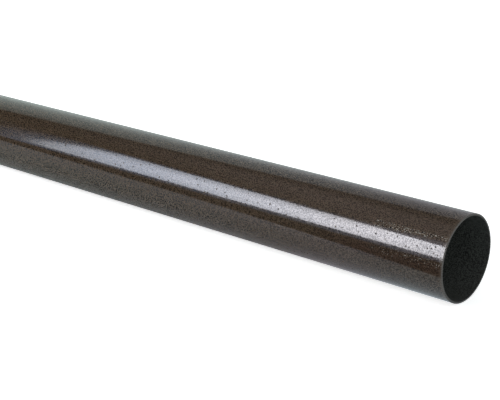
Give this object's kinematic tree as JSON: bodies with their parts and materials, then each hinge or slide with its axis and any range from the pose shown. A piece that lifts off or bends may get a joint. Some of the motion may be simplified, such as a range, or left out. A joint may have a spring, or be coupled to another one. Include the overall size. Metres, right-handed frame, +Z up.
{
  "type": "downpipe",
  "caption": "Straight round rainwater downpipe of brown rigid plastic, with plain open ends cut square, lying on its side.",
  "frame": {"origin": "on the floor line, under the middle of the pipe's length", "axes": "+X along the pipe towards the end that the picture shows, +Z up, the pipe lying on the floor"},
  "size_m": [2.5, 0.0678, 0.068],
  "materials": {
    "brown_plastic": "dark brown rigid PVC, extruded gloss with a fine grain"
  },
  "bodies": {
    "root": {"downpipe": "brown_plastic"}
  },
  "joints": []
}
